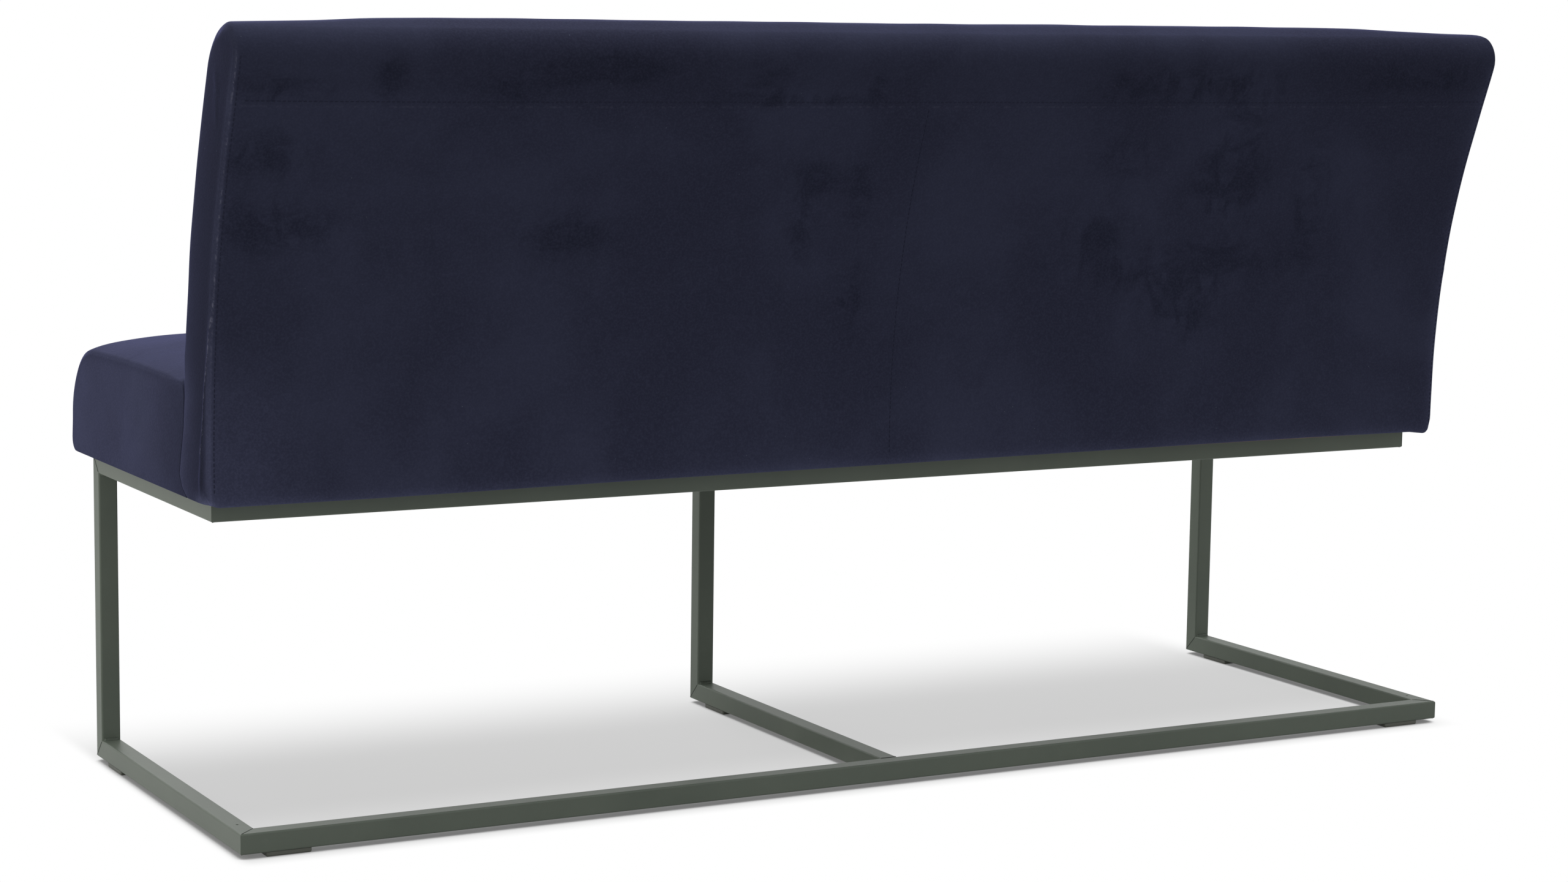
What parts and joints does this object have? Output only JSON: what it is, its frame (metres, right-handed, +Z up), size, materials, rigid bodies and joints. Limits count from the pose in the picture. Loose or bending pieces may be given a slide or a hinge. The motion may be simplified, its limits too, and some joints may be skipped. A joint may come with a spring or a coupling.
{
  "type": "dining bench",
  "caption": "Upholstered dining bench: padded seat and curved, leaning back on a welded sled frame of square steel tube with floor glides.",
  "frame": {"origin": "floor level, under the middle of the bench's length and depth", "axes": "+X along the bench towards the sitter's left hand, -Y the way the sitter looks, +Z up"},
  "size_m": [1.6, 0.5822, 0.8639],
  "materials": {
    "frame_paint": "satin grey-green powder coat",
    "glide_plastic": "moulded, fine texture",
    "velvet": "short-pile navy velvet",
    "foam": "open-cell foam",
    "timber": "planed softwood",
    "plywood": "raw plywood",
    "dust_cloth": "non-woven cloth",
    "hardware": "zinc plated"
  },
  "bodies": {
    "root": {"back_board_front": "plywood", "back_board_rear": "plywood", "back_bolts": "hardware", "back_cover_front": "velvet", "back_cover_left": "velvet", "back_cover_rear_left": "velvet", "back_cover_rear_right": "velvet", "back_cover_right": "velvet", "back_foam_front": "foam", "back_foam_rear": "foam", "back_inserts": "hardware", "back_lumbar_rails": "timber", "back_post_inner_left": "timber", "back_post_inner_right": "timber", "back_post_left": "timber", "back_post_middle": "timber", "back_post_right": "timber", "back_wood_bottom": "timber", "back_wood_top": "timber", "dust_cover": "dust_cloth", "floor_rail_rear": "frame_paint", "glide_front_left": "glide_plastic", "glide_front_middle": "glide_plastic", "glide_front_right": "glide_plastic", "glide_rear_left": "glide_plastic", "glide_rear_right": "glide_plastic", "leg_left": "frame_paint", "leg_middle": "frame_paint", "leg_right": "frame_paint", "runner_left": "frame_paint", "runner_middle": "frame_paint", "runner_right": "frame_paint", "seat_bolts": "hardware", "seat_corner_blocks": "timber", "seat_cover_left": "velvet", "seat_cover_right": "velvet", "seat_cover_top": "velvet", "seat_cross_left": "timber", "seat_cross_middle": "timber", "seat_cross_right": "timber", "seat_deck": "plywood", "seat_foam": "foam", "seat_inserts": "hardware", "seat_rail_front_left": "frame_paint", "seat_rail_front_right": "frame_paint", "seat_rail_left": "frame_paint", "seat_rail_middle": "frame_paint", "seat_rail_rear": "frame_paint", "seat_rail_right": "frame_paint", "seat_washers": "hardware", "seat_wood_front": "timber", "seat_wood_left": "timber", "seat_wood_rear": "timber", "seat_wood_right": "timber"}
  },
  "joints": []
}
